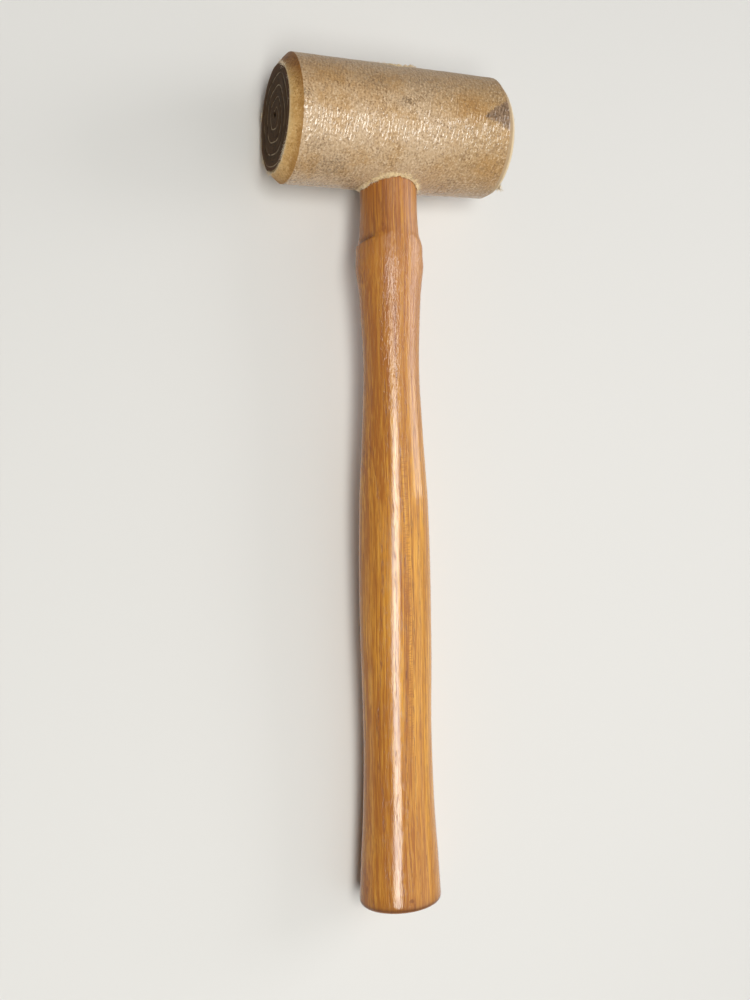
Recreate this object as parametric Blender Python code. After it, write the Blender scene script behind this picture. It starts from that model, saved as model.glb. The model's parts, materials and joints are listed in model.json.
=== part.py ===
"""Rolled rawhide mallet with a hickory handle, lying on its side as it is put down on a bench.

Metres, +Z up. X runs along the head, and the handle runs from the head at +Y to its butt at -Y.
The origin is on the bench, under the middle of the mallet's bounding box.

Every piece is modelled in the tool frame, whose origin is the middle of the head and whose -Y is the
handle's axis. One empty carries the tool frame, and tips it until the butt touches the bench.
"""

from math import asin, atan2, cos, hypot, pi, radians, sin, sqrt

import bmesh
import bpy
from mathutils import Vector

# Head: one strip of rawhide rolled up tight, turned round and chamfered at both faces
HEAD_DIAMETER = 0.04445
HEAD_LENGTH = 0.0857
CHAMFER_ALONG = 0.0046
CHAMFER_DROP = 0.0034
FACE_SHIFT = -0.0007
HEAD_RADIUS = HEAD_DIAMETER / 2
HEAD_SIDES = 96

# Rawhide strip. Angles in the roll run from the far side (+Y) towards the top (+Z).
CORE_VOID_RADIUS = 0.0008
STRIP_START_THICKNESS = 0.0009
LAP_EDGE_THICKNESS = 0.0007
LAP_ANGLE = radians(-48)
LAP_RAMP = radians(16)
TURNS_UNDER_LAP = 4.75
STEPS_PER_TURN = 48

# Meshing pieces keep this gap: the glue line of the roll, and the play in the eye and the kerf
GAP = 0.0003

# Handle: distances run from the middle of the head towards the butt
TENON_RADIUS = 0.0105
TENON_SPREAD = 0.0005
TENON_PROUD = 0.0006
TENON_STRAIGHT_TO = 0.0270
TENON_CONE = 0.0007
SHOULDER_FROM = 0.0375
SHOULDER_TO = 0.0450
SHOULDER_RISE = 0.0019
HANDLE_LENGTH = 0.2880
BUTT_ROUND = 0.0022
BUTT_ROUND_STEPS = 4
HANDLE_SIDES = 40

# Oval of the handle's blank: distance, width along the head, thickness
HANDLE_OVALS = (
    (0.020, 0.0260, 0.0214),
    (0.047, 0.0258, 0.0212),
    (0.062, 0.0231, 0.0199),
    (0.088, 0.0212, 0.0185),
    (0.114, 0.0235, 0.0199),
    (0.137, 0.0263, 0.0218),
    (0.165, 0.0274, 0.0226),
    (0.193, 0.0272, 0.0224),
    (0.222, 0.0263, 0.0218),
    (0.248, 0.0273, 0.0225),
    (0.269, 0.0297, 0.0243),
    (0.288, 0.0318, 0.0258),
)
SHOULDER_RING_STEP = 0.0015
GRIP_RING_STEP = 0.0080

# Hardwood wedge, in a saw kerf that runs along the head
KERF_WEDGE_WIDTH = 0.0196
KERF_WEDGE_TOP = 0.0024
KERF_WEDGE_FOOT = 0.0009
KERF_WEDGE_DEPTH = 0.0270

# Barbed steel wedge, driven across the hardwood one
STEEL_WEDGE_WIDTH = 0.0130
STEEL_WEDGE_TOP = 0.0022
STEEL_WEDGE_FOOT = 0.0006
STEEL_WEDGE_DEPTH = 0.0150
STEEL_WEDGE_BARBS = 3
BARB_BITE = 0.0002
STEEL_WEDGE_SINK = 0.0002

# Brads along the lap, each driven towards the middle of the roll
BRAD_PLACES = (-0.0330, -0.0190, 0.0190, 0.0330)
BRAD_BACK_FROM_LAP = radians(9)
BRAD_SHANK_RADIUS = 0.0007
BRAD_HEAD_RADIUS = 0.0014
BRAD_HEAD_THICKNESS = 0.0006
BRAD_LENGTH = 0.0130
BRAD_POINT = 0.0020
BRAD_SINK = 0.0001
BRAD_SIDES = 12

# How far a cutter runs past the surface that it cuts through
OVERCUT = 0.0020

# Finishes: colour, roughness, metallic
RAWHIDE_FINISH = ((0.50, 0.34, 0.19), 0.45, 0.0)
HICKORY_FINISH = ((0.45, 0.20, 0.06), 0.30, 0.0)
WEDGE_WOOD_FINISH = ((0.60, 0.42, 0.24), 0.60, 0.0)
WEDGE_STEEL_FINISH = ((0.42, 0.41, 0.40), 0.40, 1.0)
BRAD_STEEL_FINISH = ((0.50, 0.48, 0.45), 0.35, 1.0)


def clear_scene():
    for thing in list(bpy.data.objects):
        bpy.data.objects.remove(thing, do_unlink=True)


def finish_material(name, finish):
    colour, roughness, metallic = finish
    material = bpy.data.materials.new(name)
    material.use_nodes = True
    shader = material.node_tree.nodes["Principled BSDF"]
    shader.inputs["Base Color"].default_value = (*colour, 1.0)
    shader.inputs["Roughness"].default_value = roughness
    shader.inputs["Metallic"].default_value = metallic
    return material


def smoothstep(share):
    share = min(1.0, max(0.0, share))
    return share * share * (3 - 2 * share)


def frange(start, stop, step):
    """Evenly spaced values from start to stop, both included, no further apart than step."""
    count = max(1, round((stop - start) / step))
    return [start + (stop - start) * i / count for i in range(count + 1)]


def solid_from_rings(name, rings, parent, material=None):
    """One closed body: each ring is joined to the next by quads, and the two end rings are capped."""
    shell = bmesh.new()
    loops = [[shell.verts.new(point) for point in ring] for ring in rings]
    for near, far in zip(loops, loops[1:]):
        for i, corner in enumerate(near):
            j = (i + 1) % len(near)
            shell.faces.new((corner, near[j], far[j], far[i]))
    shell.faces.new(loops[0])
    shell.faces.new(loops[-1])
    bmesh.ops.recalc_face_normals(shell, faces=shell.faces)
    mesh = bpy.data.meshes.new(name)
    shell.to_mesh(mesh)
    shell.free()
    mesh.shade_smooth()
    mesh.set_sharp_from_angle(angle=radians(30))
    solid = bpy.data.objects.new(name, mesh)
    solid.parent = parent
    bpy.context.scene.collection.objects.link(solid)
    if material:
        mesh.materials.append(material)
    return solid


def cutter_from_rings(name, rings, parent):
    cutter = solid_from_rings(name, rings, parent)
    cutter.hide_render = True
    cutter.display_type = "WIRE"
    return cutter


def carve(solid, cutter, operation="DIFFERENCE"):
    modifier = solid.modifiers.new(cutter.name, "BOOLEAN")
    modifier.operation = operation
    modifier.object = cutter


def circle(radius, sides, place, across, along):
    """A ring of points about place, in the plane of the two unit vectors across and along."""
    turns = [2 * pi * i / sides for i in range(sides)]
    return [place + radius * (cos(t) * across + sin(t) * along) for t in turns]


X_AXIS, Y_AXIS, Z_AXIS = Vector((1, 0, 0)), Vector((0, 1, 0)), Vector((0, 0, 1))


# Rolled head


def roll_outside(angle):
    """Radius of the strip's outer side, by the angle wound on since the strip's start."""
    under_lap = 2 * pi * TURNS_UNDER_LAP
    start = CORE_VOID_RADIUS + STRIP_START_THICKNESS
    covered = HEAD_RADIUS - LAP_EDGE_THICKNESS - GAP
    if angle <= under_lap:
        return start + (covered - start) * angle / under_lap
    past_lap = smoothstep((angle - under_lap) / LAP_RAMP)
    return covered + (HEAD_RADIUS + OVERCUT - covered) * past_lap


def roll_inside(angle):
    """Radius of the strip's inner side: the core void on the first turn, then the turn beneath."""
    if angle < 2 * pi:
        return CORE_VOID_RADIUS
    return roll_outside(angle - 2 * pi) + GAP


def rolled_strip(parent, material):
    """The strip as it lies in the roll, longer and thicker than the turned head."""
    end = 2 * pi * (TURNS_UNDER_LAP + 1)
    half = HEAD_LENGTH / 2 + OVERCUT
    rings = []
    for angle in frange(0, end, 2 * pi / STEPS_PER_TURN):
        turn = LAP_ANGLE + angle - end
        out = Vector((0, cos(turn), sin(turn)))
        outer, inner = out * roll_outside(angle), out * roll_inside(angle)
        left, right = -half * X_AXIS, half * X_AXIS
        rings.append((outer + left, inner + left, inner + right, outer + right))
    return solid_from_rings("rawhide_roll", rings, parent, material)


def turned_blank(parent):
    """The head's outside: a turned cylinder, with a chamfer dressed by hand at each striking face.

    The chamfers are deeper on the far side, so the faces sit a little towards the handle.
    """
    half, face = HEAD_LENGTH / 2, HEAD_RADIUS - CHAMFER_DROP
    profile = (
        (-half, FACE_SHIFT, face),
        (-half + CHAMFER_ALONG, 0, HEAD_RADIUS),
        (half - CHAMFER_ALONG, 0, HEAD_RADIUS),
        (half, FACE_SHIFT, face),
    )
    rings = [circle(r, HEAD_SIDES, Vector((x, y, 0)), Y_AXIS, Z_AXIS) for x, y, r in profile]
    return cutter_from_rings("head_outside", rings, parent)


def tenon_radius(distance):
    """The tenon is straight through the head, and its wedged end spreads."""
    spread = smoothstep(-distance / HEAD_RADIUS)
    return TENON_RADIUS + TENON_SPREAD * spread


def eye_cutter(parent):
    reach = HEAD_RADIUS + OVERCUT
    rings = [
        circle(tenon_radius(s) + GAP, HANDLE_SIDES, -s * Y_AXIS, X_AXIS, Z_AXIS)
        for s in frange(-reach, reach, HEAD_RADIUS / 4)
    ]
    return cutter_from_rings("eye", rings, parent)


# Handle


def oval_at(distance):
    """Width and thickness of the blank: a smooth curve through the listed ovals."""
    last = len(HANDLE_OVALS) - 2
    i = max(0, min(last, sum(oval[0] <= distance for oval in HANDLE_OVALS) - 1))
    before, here = HANDLE_OVALS[max(0, i - 1)], HANDLE_OVALS[i]
    there, after = HANDLE_OVALS[i + 1], HANDLE_OVALS[min(last + 1, i + 2)]
    run = there[0] - here[0]
    t = (distance - here[0]) / run
    sizes = []
    for k in (1, 2):
        leave = run * (there[k] - before[k]) / (there[0] - before[0])
        arrive = run * (after[k] - here[k]) / (after[0] - here[0])
        rise = there[k] - here[k]
        bow = t * (1 - t) * ((leave - rise) * (1 - t) - (arrive - rise) * t)
        sizes.append(here[k] + rise * t + bow)
    return sizes


def turned_radius(distance):
    """The round cut that makes the tenon: straight, a slight cone, then the rise of the shoulder."""
    if distance > SHOULDER_TO:
        return HEAD_RADIUS
    cone = smoothstep((distance - TENON_STRAIGHT_TO) / (SHOULDER_TO - TENON_STRAIGHT_TO))
    rise = smoothstep((distance - SHOULDER_FROM) / (SHOULDER_TO - SHOULDER_FROM))
    return tenon_radius(distance) + TENON_CONE * cone + SHOULDER_RISE * rise


def handle_ring(distance, inset=0.0):
    """The blank's oval where it lies inside the round cut, and the cut elsewhere."""
    width, thickness = oval_at(max(distance, HANDLE_OVALS[0][0]))
    a, b = width / 2 - inset, thickness / 2 - inset
    limit = turned_radius(distance)
    ring = []
    for i in range(HANDLE_SIDES):
        turn = 2 * pi * i / HANDLE_SIDES
        oval = a * b / hypot(b * cos(turn), a * sin(turn))
        radius = min(oval, limit)
        ring.append(Vector((radius * cos(turn), -distance, radius * sin(turn))))
    return ring


def tenon_end_rings():
    """The tenon's far end, sanded to the head's curve: rings from its middle out to its rim."""
    dome, rim = HEAD_RADIUS + TENON_PROUD, tenon_radius(-HEAD_RADIUS)
    rings = []
    for share in (0.02, 0.25, 0.5, 0.75, 1.0):
        ring = circle(rim * share, HANDLE_SIDES, Vector(), X_AXIS, Z_AXIS)
        rings.append([Vector((p.x, sqrt(dome**2 - p.z**2), p.z)) for p in ring])
    return rings


def handle_solid(parent, material):
    rings = tenon_end_rings()
    inner_end = sqrt(HEAD_RADIUS**2 - TENON_RADIUS**2) - OVERCUT
    distances = frange(-inner_end, TENON_STRAIGHT_TO, HEAD_RADIUS / 2)
    distances += frange(TENON_STRAIGHT_TO, HANDLE_OVALS[1][0], SHOULDER_RING_STEP)[1:]
    straight_end = HANDLE_LENGTH - BUTT_ROUND
    distances += frange(HANDLE_OVALS[1][0], straight_end, GRIP_RING_STEP)[1:]
    rings += [handle_ring(s) for s in distances]
    for step in range(1, BUTT_ROUND_STEPS + 1):
        turn = pi / 2 * step / BUTT_ROUND_STEPS
        inset = BUTT_ROUND * (1 - cos(turn))
        rings.append(handle_ring(straight_end + BUTT_ROUND * sin(turn), inset))
    return solid_from_rings("handle", rings, parent, material)


def resting_tilt():
    """How far the tool frame tips before the underside of the handle meets the bench."""
    tilts = []
    for distance in frange(HANDLE_LENGTH / 2, HANDLE_LENGTH - BUTT_ROUND, GRIP_RING_STEP):
        below = oval_at(distance)[1] / 2
        tilts.append(asin(HEAD_RADIUS / hypot(distance, below)) - atan2(below, distance))
    return min(tilts)


# Wedges in the tenon


def wedge_rings(top, foot, top_y, depth, across, half, through, swell=0.0):
    """A tapered slip: its section lies in the plane of across and Y, and it is half long each way."""
    t, f = top / 2 + swell, foot / 2 + swell
    rise = OVERCUT if swell else 0.0
    section = ((-t, top_y + rise), (t, top_y + rise), (f, top_y - depth - swell), (-f, top_y - depth - swell))
    return [[a * across + y * Y_AXIS + side * half * through for a, y in section] for side in (-1, 1)]


def kerf_wedge(parent, material):
    size = (KERF_WEDGE_TOP, KERF_WEDGE_FOOT, HEAD_RADIUS, KERF_WEDGE_DEPTH, Z_AXIS)
    slip = wedge_rings(*size, KERF_WEDGE_WIDTH / 2, X_AXIS)
    kerf = wedge_rings(*size, TENON_RADIUS + OVERCUT, X_AXIS, swell=GAP)
    return solid_from_rings("kerf_wedge", slip, parent, material), cutter_from_rings("kerf", kerf, parent)


def steel_wedge_top():
    """Driven just below the sanded end of the tenon, which falls away towards the wedge's two ends."""
    return sqrt(HEAD_RADIUS**2 - (STEEL_WEDGE_WIDTH / 2) ** 2) - STEEL_WEDGE_SINK


def barbed_section():
    """Half of the steel wedge's section, from its top to its foot: a taper stepped by barbs."""
    half = []
    for barb in range(STEEL_WEDGE_BARBS):
        for share in (barb / STEEL_WEDGE_BARBS, (barb + 1) / STEEL_WEDGE_BARBS):
            taper = STEEL_WEDGE_TOP + (STEEL_WEDGE_FOOT - STEEL_WEDGE_TOP) * share
            bite = BARB_BITE if share > barb / STEEL_WEDGE_BARBS else 0.0
            half.append((taper / 2 - bite, steel_wedge_top() - STEEL_WEDGE_DEPTH * share))
    return half


def steel_wedge(parent, material):
    half = STEEL_WEDGE_WIDTH / 2
    right = barbed_section()
    section = right + [(-x, y) for x, y in reversed(right)]
    rings = [[x * X_AXIS + y * Y_AXIS + side * half * Z_AXIS for x, y in section] for side in (-1, 1)]
    slot = wedge_rings(
        STEEL_WEDGE_TOP,
        STEEL_WEDGE_FOOT,
        steel_wedge_top(),
        STEEL_WEDGE_DEPTH,
        X_AXIS,
        half + GAP,
        Z_AXIS,
        swell=GAP,
    )
    return solid_from_rings("steel_wedge", rings, parent, material), cutter_from_rings("wedge_slot", slot, parent)


# Brads along the lap


def brad_rings(place, swell=0.0):
    """A wire brad with a flat head, or the hole for it when it is swelled."""
    turn = LAP_ANGLE - BRAD_BACK_FROM_LAP
    out = Vector((0, cos(turn), sin(turn)))
    around = X_AXIS.cross(out)
    top = HEAD_RADIUS - BRAD_SINK
    foot = top - BRAD_LENGTH
    under_head = top - BRAD_HEAD_THICKNESS
    profile = (
        (top + (OVERCUT if swell else 0.0), BRAD_HEAD_RADIUS + swell),
        (under_head - swell, BRAD_HEAD_RADIUS + swell),
        (under_head - swell, BRAD_SHANK_RADIUS + swell),
        (foot + BRAD_POINT, BRAD_SHANK_RADIUS + swell),
        (foot - swell, BRAD_SHANK_RADIUS / 5 + swell),
    )
    middle = place * X_AXIS
    return [circle(r, BRAD_SIDES, middle + height * out, X_AXIS, around) for height, r in profile]


def build():
    clear_scene()
    tool_frame = bpy.data.objects.new("tool_frame", None)
    bpy.context.scene.collection.objects.link(tool_frame)
    tilt = resting_tilt()
    butt = HANDLE_LENGTH * cos(tilt) + oval_at(HANDLE_LENGTH)[1] / 2 * sin(tilt)
    tool_frame.location = (0, (butt - HEAD_RADIUS - TENON_PROUD) / 2, HEAD_RADIUS)
    tool_frame.rotation_euler.x = tilt

    roll = rolled_strip(tool_frame, finish_material("rawhide", RAWHIDE_FINISH))
    carve(roll, turned_blank(tool_frame), "INTERSECT")
    carve(roll, eye_cutter(tool_frame))
    brad_steel = finish_material("brad_steel", BRAD_STEEL_FINISH)
    for number, place in enumerate(BRAD_PLACES, start=1):
        solid_from_rings(f"lap_brad_{number}", brad_rings(place), tool_frame, brad_steel)
        carve(roll, cutter_from_rings(f"brad_hole_{number}", brad_rings(place, GAP), tool_frame))

    handle = handle_solid(tool_frame, finish_material("hickory", HICKORY_FINISH))
    slip, kerf = kerf_wedge(tool_frame, finish_material("wedge_wood", WEDGE_WOOD_FINISH))
    _, slot = steel_wedge(tool_frame, finish_material("wedge_steel", WEDGE_STEEL_FINISH))
    carve(handle, kerf)
    carve(handle, slot)
    carve(slip, slot)


build()
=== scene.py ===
"""Looks of the rolled rawhide mallet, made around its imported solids.

Shapes and finishes are in millimetres, and the studio is in metres. Pieces are made in the tool frame: its
origin is the middle of the head, X runs along the head, -Y along the handle, and Z is up before the mallet
tips onto its butt. Angles around the head run from the far side (+Y) over the top (+Z) to the handle's side.
"""

import json
import random
from math import asin, atan2, cos, exp, hypot, pi, radians, sin, sqrt

import bmesh
import bpy
import numpy as np
from mathutils import Matrix, Vector, noise


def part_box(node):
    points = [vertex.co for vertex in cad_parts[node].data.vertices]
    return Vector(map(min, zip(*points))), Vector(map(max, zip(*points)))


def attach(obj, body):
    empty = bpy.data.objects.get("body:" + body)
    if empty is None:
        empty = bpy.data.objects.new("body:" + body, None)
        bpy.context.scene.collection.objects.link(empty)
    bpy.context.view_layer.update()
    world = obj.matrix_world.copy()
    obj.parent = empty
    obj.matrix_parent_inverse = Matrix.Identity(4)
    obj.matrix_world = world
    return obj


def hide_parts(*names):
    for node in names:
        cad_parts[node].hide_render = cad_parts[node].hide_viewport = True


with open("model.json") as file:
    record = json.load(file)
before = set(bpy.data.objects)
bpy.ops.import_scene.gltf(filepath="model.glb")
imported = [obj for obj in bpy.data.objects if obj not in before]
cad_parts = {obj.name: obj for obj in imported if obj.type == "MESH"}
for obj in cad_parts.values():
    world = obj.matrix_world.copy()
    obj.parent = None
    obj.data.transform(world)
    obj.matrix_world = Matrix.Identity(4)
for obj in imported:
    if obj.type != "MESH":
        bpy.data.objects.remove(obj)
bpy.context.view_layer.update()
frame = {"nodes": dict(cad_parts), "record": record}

MM = 0.001

# Head, as the solids have it
HEAD_RADIUS = 22.225
HEAD_LENGTH = 85.7
CHAMFER_ALONG = 4.6
CHAMFER_DROP = 3.4

# Hand-turned ends, left (-1) and right (1): how far out each edge lies, and how it leans with Y and with Z
FACE_RADIUS = {-1: 18.4, 1: 18.8}
FACE_MIDDLE = {-1: (-0.3, 0.0), 1: (-0.7, 0.0)}
FACE_OUT = {-1: 42.6, 1: 42.8}
FACE_LEAN = {-1: (0.029, 0.014), 1: (-0.012, 0.0)}
EDGE_OUT = {-1: 38.65, 1: 39.1}
EDGE_LEAN = {-1: (0.009, 0.012), 1: (-0.035, 0.0)}

# The right end is turned thinner on the handle's side
TAPER = 0.75
TAPER_FROM = 8.0
TAPER_RUN = 34.0

# Head, as a grid: rows around it, columns along its side, and across each chamfer
ROWS = 384
ROW_TURN = 2 * pi / ROWS
SIDE_COLUMNS = 208
CHAMFER_COLUMNS = 12

# Roll: one strip, whose free edge is the lap
LAP_ROW = 333
LAP_ANGLE = LAP_ROW * ROW_TURN
LAP_STEP = 0.85
LAP_RAMP = radians(6.5)
LAYER = 4.11
FIRST_LAYER = 1.7
CORE_RADIUS = 0.8
CORE_SINK = 0.2
CORE_DEPTH = 2.5
CORE_DRIFT = Vector((0.0, 1.0, 0.3))
LAYER_POINTS = (0.0, 0.05, 0.11, 0.25, 0.40, 0.46, 0.52, 0.66, 0.80, 0.89, 0.95)
GLUE_AT_POINTS = (1.0, 0.4, 0.0, 0.0, 0.0, 0.3, 0.0, 0.0, 0.0, 0.0, 0.4)
GLUE_GROOVE = 0.13
LAYER_CROWN = 0.10
FACE_SINK = 0.10
FACE_EASE = 1.2
FACE_CLEARANCE = 0.15

# Lumps of each surface: height, size, and a salt that picks another pattern
SKIN_LUMPS = ((0.10, 11.0, 0.0), (0.05, 3.2, 5.0), (0.022, 1.3, 8.0))
SKIN_SINK = 0.09
CHAMFER_LUMPS = ((0.05, 4.0, 0.0),)
CHAMFER_SWELL = 0.12
FACE_LUMPS = ((0.05, 1.6, 0.0), (0.12, 9.0, 2.0))
COLLAR_LUMPS = ((0.7, 4.0, 3.0), (0.8, 1.4, 6.0), (0.35, 0.5, 8.0))
TEAR_LUMPS = ((2.0, 0.7, 6.0), (1.5, 2.4, 9.0))
HANDLE_WAVES = ((0.05, 16.0, 0.0), (0.018, 4.0, 3.0))

# The same for edges, whose lumps are measured on a circle of radius 1
EDGE_LUMPS = ((0.22, 0.9, 0.0), (0.10, 0.22, 2.0))
RIM_LUMPS = ((0.14, 0.5, 0.0), (0.11, 0.10, 4.0))
RIM_FRAY = ((0.08, 0.3, 1.0),)
RIM_SINK = 0.08
LAYER_WANDER = ((0.45, 1.5, 0.0),)

# Patches where the hide is smoother and more amber: along the head, angle, half size, share
AMBER_PATCHES = (
    (-28.5, 62, 8, 0.9),
    (24, 80, 6.5, 0.9),
    (-15, 73, 8.5, 0.5),
    (34, 137, 7, 0.7),
    (14, 155, 9, 0.45),
    (-10, 235, 11, 0.45),
    (22, 290, 10, 0.5),
    (-30, 330, 9, 0.5),
)

# Dirt in the grain, in the same way
SMUDGES = (
    (-0.7, 82.5, 2.4, 0.8),
    (-37, 84, 2.2, 0.6),
    (-27, 146, 6.5, 0.6),
    (-12, 64, 6, 0.45),
    (6, 60, 8, 0.4),
    (-32, 128, 4, 0.4),
    (8, 215, 9, 0.5),
    (-18, 290, 8, 0.5),
)

# Brads along the lap
BRAD_PLACES = (-33, -19, 19, 33)
BRAD_ANGLE = radians(-57)
BRAD_DIMPLE = 0.4
BRAD_DIMPLE_RADIUS = 1.7

# Eye: the hole that the tenon goes through, and the block of the side's grid that it is cut into
EYE_RADIUS = 10.72
EYE_TUNNEL_RADIUS = 10.85
EYE_TUNNEL_STEPS = 10
EYE_COLUMNS = 38
EYE_ROWS = 40
EYE_RINGS = 12

# Collar of torn hide around the tenon: distance out from the eye's edge, and rise
COLLAR = (
    (1.7, 0.0),
    (1.3, 0.03),
    (0.95, 0.10),
    (0.68, 0.24),
    (0.45, 0.42),
    (0.27, 0.58),
    (0.12, 0.68),
    (0.01, 0.66),
    (-0.03, 0.35),
)
COLLAR_TORN_FROM = 4
COLLAR_WEAR = 0.9
COLLAR_LEAST_WEAR = 0.1

# Where the rims of the two faces are torn: angle, spread in radians and strength
RIM_TEARS = {
    -1: ((32, 0.15, 1.0), (200, 0.17, 1.0), (145, 0.30, 0.4), (235, 0.25, 0.35), (290, 0.12, 0.6)),
    1: ((164, 0.06, 1.8), (40, 0.20, 0.3), (300, 0.15, 0.6)),
}

# The same for the eye's lip at the handle
EYE_TEAR = (158, 0.45)

# Loose fibres: how much longer and wider they are where the hide is torn, their widths, and their bend
RIM_FIBRE = (0.9, 1.3, (0.05, 0.14), 0.5)
EYE_FIBRE = (0.6, 0.5, (0.07, 0.16), 0.4)
FIBRE_LENGTHS = (0.3, 0.8)
FIBRE_RINGS = 5

# Chances for a fibre at each point: how many, how likely, and how much likelier where the hide is torn
RIM_CHANCES = (7, 0.03, 0.7)
EYE_CHANCES = (3, 0.25, 0.6)

# Handle, as the solids have it: distances from the middle of the head towards the butt
TENON_RADIUS = 10.5
TENON_SPREAD = 0.5
TENON_SUNK = 0.1
TENON_STRAIGHT_TO = 27.0
TENON_CONE = 0.7
SHOULDER_FROM = 37.5
SHOULDER_TO = 45.0
SHOULDER_RISE = 1.9
SHOULDER_SOFTNESS = 2.4
CLEAR_RUN = 5.0
CLEAR_SLOPE = 0.8
HANDLE_LENGTH = 288.0
BUTT_ROUND = 2.2
HANDLE_OVALS = (
    (20, 26.0, 21.4),
    (47, 26.2, 21.5),
    (62, 23.1, 19.9),
    (88, 21.2, 18.5),
    (114, 23.5, 19.9),
    (137, 26.3, 21.8),
    (165, 27.4, 22.6),
    (193, 27.2, 22.4),
    (222, 26.3, 21.8),
    (248, 27.3, 22.5),
    (269, 29.7, 24.3),
    (288, 31.8, 25.8),
)
HANDLE_SIDES = 144
HANDLE_RING_STEP = 1.2
SHOULDER_RING_STEP = 0.4
BUTT_RINGS = 6

# Wear of the handle: the cutter's nick at the shoulder, with its angles in degrees, and a dent near the butt
NICK_FROM, NICK_TO = 134, 232
NICK_EASE_IN, NICK_EASE_OUT = 16, 25
NICK_FALLS_FROM, NICK_FALLS_TO = 132, 187
NICK_AT = 40.7
NICK_FALL = 1.9
NICK_DEPTH = 0.75
NICK_RUN = 2.6
NICK_LIP = 0.5
DENT_AT = (283.2, radians(92.8))
DENT_RADIUS = 1.1
DENT_DEPTH = 0.4

# Saw kerf and the slot of the steel wedge: width at the mouth, width at the foot, depth, reach to each side
KERF = (3.0, 1.5, 27.3, 12.5)
WEDGE_SLOT = (2.8, 1.2, 15.3, 6.8)
WEDGE_SLOT_TOP = 21.05
SLOT_CLEAR = 3.0

# Camera, found from the photograph's perspective
CAMERA_PLACE = Vector((-0.1378, -0.0015, 0.3645))
CAMERA_RIGHT = Vector((0.9355, -0.0301, 0.3520))
CAMERA_UP = Vector((0.0299, 0.9995, 0.0059))
CAMERA_LENS = 36.0
CAMERA_SENSOR = 36.0

# Colour of the backdrop where it shows
BACKDROP = (0.48, 0.475, 0.47)


def tool_frame():
    """The tool frame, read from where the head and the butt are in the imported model."""
    low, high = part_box("rawhide_roll")
    middle = (Vector(low) + Vector(high)) / 2
    butt = next(mount for mount in frame["record"]["mounts"] if mount["name"] == "butt_end")
    tilt = atan2(-butt["axis"][2], -butt["axis"][1])
    return Matrix.Translation(middle) @ Matrix.Rotation(tilt, 4, "X")


TOOL_FRAME = tool_frame()


# Small tools


def smoothstep(share):
    share = min(1.0, max(0.0, share))
    return share * share * (3 - 2 * share)


def gentle_step(share):
    """Like smoothstep, but its bend also starts and ends at nothing."""
    share = min(1.0, max(0.0, share))
    return share**3 * (6 * share * share - 15 * share + 10)


def frange(start, stop, step):
    """Evenly spaced values from start to stop, both included, about a step apart."""
    count = max(1, round((stop - start) / step))
    return [start + (stop - start) * i / count for i in range(count + 1)]


def rough(place, lumps):
    """Smooth noise over a place: the sum of its lumps, each with a height, a size and a salt."""
    total = 0.0
    for height, size, salt in lumps:
        total += height * noise.noise(place / size + Vector((salt, -salt, 2 * salt)))
    return total


def around(angle, radius, x=0.0):
    return Vector((x, radius * cos(angle), radius * sin(angle)))


class Shell:
    """Points and faces of one mesh. Each face has the number of its finish."""

    def __init__(self):
        self.points = []
        self.faces = []
        self.finishes = []

    def point(self, place):
        self.points.append(tuple(place))
        return len(self.points) - 1

    def ring(self, places):
        return [self.point(place) for place in places]

    def face(self, corners, finish=0):
        """A face without its repeated corners, or none if fewer than three are left."""
        kept = [corner for i, corner in enumerate(corners) if corner != corners[i - 1]]
        if len(set(kept)) > 2:
            self.faces.append(kept)
            self.finishes.append(finish)

    def band(self, near, far, finish=0):
        """Quads between two closed rings of the same length."""
        for i in range(len(near)):
            self.face((near[i - 1], near[i], far[i], far[i - 1]), finish)

    def tube(self, rings, finish=0):
        for near, far in zip(rings, rings[1:]):
            self.band(near, far, finish)

    def closed_tube(self, rings):
        self.tube(rings)
        self.face(rings[0])
        self.face(rings[-1])

    def mesh(self, name):
        mesh = bpy.data.meshes.new(name)
        mesh.from_pydata([[MM * part for part in point] for point in self.points], [], self.faces)
        mesh.polygons.foreach_set("material_index", self.finishes)
        shell = bmesh.new()
        shell.from_mesh(mesh)
        bmesh.ops.recalc_face_normals(shell, faces=shell.faces)
        shell.to_mesh(mesh)
        shell.free()
        mesh.shade_smooth()
        return mesh


def add_object(name, data):
    thing = bpy.data.objects.new(name, data)
    bpy.context.scene.collection.objects.link(thing)
    return thing


def add_piece(name, mesh, finishes, node=None):
    """A piece in the tool frame, which rides on the mallet and may stand for one of its solids."""
    thing = add_object(name, mesh)
    thing.matrix_world = TOOL_FRAME
    for finish in finishes:
        mesh.materials.append(finish)
    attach(thing, "root")
    if node:
        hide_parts(node)


# Shape of the head

SKIN, CHAMFER, END_FACE, TORN = range(4)


def skin_relief(x, angle):
    """How far the dressed hide lies below the turned cylinder, as a negative height."""
    relief = rough(around(angle, HEAD_RADIUS, x), SKIN_LUMPS) - SKIN_SINK
    relief -= TAPER * smoothstep((x - TAPER_FROM) / TAPER_RUN) * max(0.0, -cos(angle))
    past_lap = (angle - LAP_ANGLE) % (2 * pi)
    if 0 < past_lap < LAP_RAMP:
        relief -= LAP_STEP * (1 - past_lap / LAP_RAMP)
    for brad in BRAD_PLACES:
        away = hypot(x - brad, HEAD_RADIUS * sin(angle - BRAD_ANGLE))
        if away < 2 * BRAD_DIMPLE_RADIUS and cos(angle - BRAD_ANGLE) > 0:
            relief -= BRAD_DIMPLE * (1 - smoothstep(away / BRAD_DIMPLE_RADIUS - 0.5))
    return relief


def side_edge(end, angle):
    """Where the side meets the chamfer: end is -1 at the left face and 1 at the right."""
    wander = rough(around(angle, 1.0, 3.0 * end), EDGE_LUMPS)
    lean_y, lean_z = EDGE_LEAN[end]
    return end * (EDGE_OUT[end] + wander) + HEAD_RADIUS * (lean_y * cos(angle) + lean_z * sin(angle))


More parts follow.
